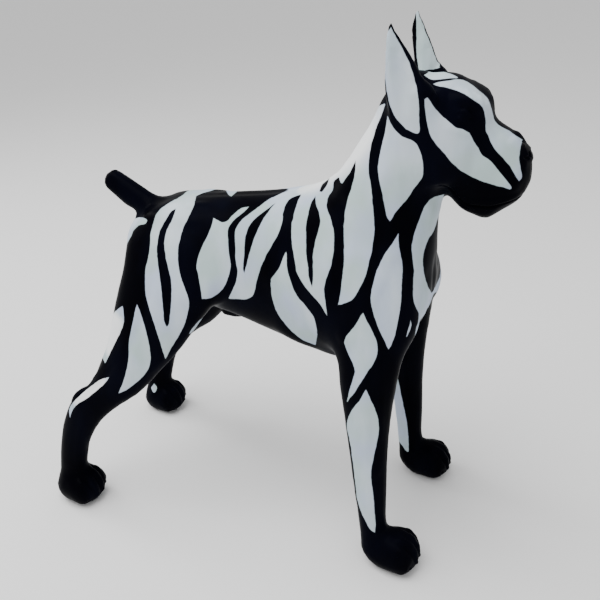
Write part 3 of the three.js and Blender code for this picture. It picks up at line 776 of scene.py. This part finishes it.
for _ in range(ROUNDS):
    depth = paint_depth(points, normals)
    links = np.empty(len(casting.edges) * 2, np.int32)
    casting.edges.foreach_get("vertices", links)
    first, last = links[0::2], links[1::2]
    between = paint_depth((points[first] + points[last]) / 2, (normals[first] + normals[last]) / 2)
    missed = np.abs(between - (depth[first] + depth[last]) / 2) > MISS
    at_edge = np.min(np.abs([between, depth[first], depth[last]]), axis=0) < EDGE
    thin = np.zeros(len(points), bool)
    thin[first[missed & at_edge]] = thin[last[missed & at_edge]] = True
    points = refined(casting, thin)
    normals = write_points(casting, points)
paint = casting.attributes.new("pale", "FLOAT", "POINT")
paint.data.foreach_set("value", paint_depth(points, normals).astype(np.float32))

# Painted highlight: the pale coat is painted nearly white along the nape, the withers and the backs of the thigh and
# the hock, where light falls brightest
CREST = [(385, 104), (372, 126), (358, 147), (343, 163), (325, 175), (306, 183), (288, 191)]
THIGH_BACK = [(118, 312), (113, 335), (108, 358)]
HOCK_BACK = [(107, 379), (98, 385), (85, 394), (74, 404)]
half, half_facing = halves(points, normals)
painted_highlight = casting.attributes.new("painted_highlight", "FLOAT", "POINT")
highlight_amount = raised(seen(CREST), height=1.0, width=0.050, taper=0.3)
for line in (THIGH_BACK, HOCK_BACK):
    highlight_amount = np.maximum(highlight_amount, raised(seen(line), height=1.0, width=0.040, taper=0.2))
painted_highlight.data.foreach_set("value", highlight_amount.astype(np.float32))

# Skin: a corner that only two faces share would leave two triangles back to back, so it is taken out
form = bmesh.new()
form.from_mesh(casting)
pinched = [corner for corner in form.verts if len(corner.link_edges) == 2]
bmesh.ops.dissolve_verts(form, verts=pinched)
form.to_mesh(casting)
form.free()

# Dog: the finish
# Brushed paint with almost no shine: a blue-black coat, and over it a cloudy pale one from lilac to green to chalk,
# whitened a little at random, and painted white as a highlight on the nape, the withers, the thigh and the hock.


class Signal:
    """A socket in a material's node tree. Arithmetic on it adds Math nodes to that tree."""

    def __init__(self, tree, socket=None):
        self.tree = tree
        self.socket = socket

    def node(self, kind, settings=None, inputs=None, output=0):
        """Adds a node with its settings made first, then its inputs' values or links, and gives one output."""
        made = self.tree.nodes.new(kind)
        for name, setting in (settings or {}).items():
            setattr(made, name, setting)
        for name, value in (inputs or {}).items():
            if isinstance(value, Signal):
                self.tree.links.new(value.socket, made.inputs[name])
            else:
                made.inputs[name].default_value = value
        return Signal(self.tree, made.outputs[output] if made.outputs else None)

    def math(self, operation, *values):
        return self.node("ShaderNodeMath", {"operation": operation}, dict(enumerate(values)))

    def __add__(self, other):
        return self.math("ADD", self, other)

    def __radd__(self, other):
        return self.math("ADD", other, self)

    def __sub__(self, other):
        return self.math("SUBTRACT", self, other)

    def __rsub__(self, other):
        return self.math("SUBTRACT", other, self)

    def __mul__(self, other):
        return self.math("MULTIPLY", self, other)

    def __rmul__(self, other):
        return self.math("MULTIPLY", other, self)

    def noise(self, scale, detail):
        """Cloudy noise with this as its place."""
        return self.node("ShaderNodeTexNoise", {}, {"Vector": self, "Scale": scale, "Detail": detail})

    def clamped(self):
        """The same number, held between 0 and 1."""
        return self.node("ShaderNodeClamp", {}, {"Value": self})

    def mix(self, low, high):
        """A colour between two, at this share."""
        return self.node("ShaderNodeMix", {"data_type": "RGBA"}, {0: self, 6: low, 7: high}, 2)


PALE_LILAC = (0.450, 0.520, 0.645, 1)
PALE_GREEN = (0.425, 0.530, 0.530, 1)
PALE_CHALK = (0.560, 0.640, 0.705, 1)
# the white of the painted highlight, also mixed in faintly at random over the pale coat
WHITE_TONE_AND_HIGHLIGHT = (0.860, 0.880, 0.890, 1)
BLACK = (0.0010, 0.0010, 0.0022, 1)
BLACK_BLUE = (0.0020, 0.0024, 0.0065, 1)
ROUGHNESS = 0.34
SHINE = 0.008
HAND_STRAYS = 2.2  # millimetres that the brush strays about an outline
BRUSHED_DOWN = 0.35  # the streaks are this much stretched up and down

finish = bpy.data.materials.new("painted_resin")
finish.use_nodes = True
tree = finish.node_tree
tree.nodes.clear()
nodes = Signal(tree)
place = nodes.node("ShaderNodeTexCoord", output="Object")
stretched = nodes.node("ShaderNodeMapping", {}, {"Vector": place, "Scale": (1.0, 1.0, BRUSHED_DOWN)})
painted = nodes.node("ShaderNodeAttribute", {"attribute_name": "pale"}, output="Fac")
# painted highlight: how far each point is painted white for light falling on it
highlight_share = nodes.node("ShaderNodeAttribute", {"attribute_name": "painted_highlight"}, output="Fac")
hand = place.noise(90.0, 3.0)
cloud = stretched.noise(14.0, 4.0)
tint = place.noise(11.0, 2.0)
streak = stretched.noise(160.0, 2.0)
coat = (painted + (hand - 0.5) * HAND_STRAYS + 0.5).clamped()
pale_coat = ((tint - 0.42) * 6.0).clamped().mix(PALE_LILAC, PALE_GREEN)
pale_coat = ((cloud - 0.45) * 3.5).clamped().mix(pale_coat, PALE_CHALK)
# painted highlight: the pale coat is mixed towards white along the highlight's lines, and faintly at random by the
# cloud
pale_coat = (highlight_share * 1.2 + (cloud - 0.5) * 0.6).clamped().mix(pale_coat, WHITE_TONE_AND_HIGHLIGHT)
black_coat = ((cloud - 0.4) * 3.0).clamped().mix(BLACK, BLACK_BLUE)
colour = coat.mix(black_coat, pale_coat)
rough = ROUGHNESS + (cloud - 0.5) * 0.16 + (streak - 0.5) * 0.08 + coat * 0.08
height = streak * 0.25 + coat * 0.5 + hand * 0.25
bump = nodes.node("ShaderNodeBump", {}, {"Height": height, "Strength": 0.25, "Distance": 0.0004})
shader = nodes.node(
    "ShaderNodeBsdfPrincipled",
    {},
    {"Base Color": colour, "Roughness": rough, "Normal": bump, "Specular IOR Level": SHINE},
)
nodes.node("ShaderNodeOutputMaterial", {}, {"Surface": shader})

casting.materials.clear()
casting.materials.append(finish)
casting.polygons.foreach_set("use_smooth", [True] * len(casting.polygons))
casting.update()
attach(dog, "root")
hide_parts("dog")

# Floor: a plain pale studio floor that runs well past the view
FLOOR_SIZE = 60.0
FLOOR_COLOUR = (0.93, 0.93, 0.93, 1)
FLOOR_ROUGHNESS = 0.9

floor_mesh = bpy.data.meshes.new("floor")
form = bmesh.new()
bmesh.ops.create_grid(form, x_segments=1, y_segments=1, size=FLOOR_SIZE / 2)
form.to_mesh(floor_mesh)
form.free()
floor = bpy.data.objects.new("floor", floor_mesh)
studio.link(floor)
floor_finish = bpy.data.materials.new("floor_paint")
floor_finish.use_nodes = True
floor_shader = floor_finish.node_tree.nodes["Principled BSDF"]
floor_shader.inputs["Base Color"].default_value = FLOOR_COLOUR
floor_shader.inputs["Roughness"].default_value = FLOOR_ROUGHNESS
floor_mesh.materials.append(floor_finish)

# Light: a bright white room with one large soft lamp over the dog and a weaker one behind it
SKY = (1.0, 1.0, 1.0, 1)
SKY_STRENGTH = 0.80


def soft_lamp(name, place, power, size):
    """A square lamp that points at the middle of the dog."""
    light = bpy.data.lights.new(name, "AREA")
    light.energy = power
    light.size = size
    lamp = bpy.data.objects.new(name, light)
    lamp.location = place
    lamp.rotation_euler = (AIM - Vector(place)).to_track_quat("-Z", "Y").to_euler()
    studio.link(lamp)


soft_lamp("top_lamp", place=(-0.6, -0.7, 3.0), power=90.0, size=2.4)
soft_lamp("back_lamp", place=(-2.4, 0.4, 2.0), power=20.0, size=0.9)
world = bpy.data.worlds.new("studio")
world.use_nodes = True
background = world.node_tree.nodes["Background"]
background.inputs["Color"].default_value = SKY
background.inputs["Strength"].default_value = SKY_STRENGTH
bpy.context.scene.world = world
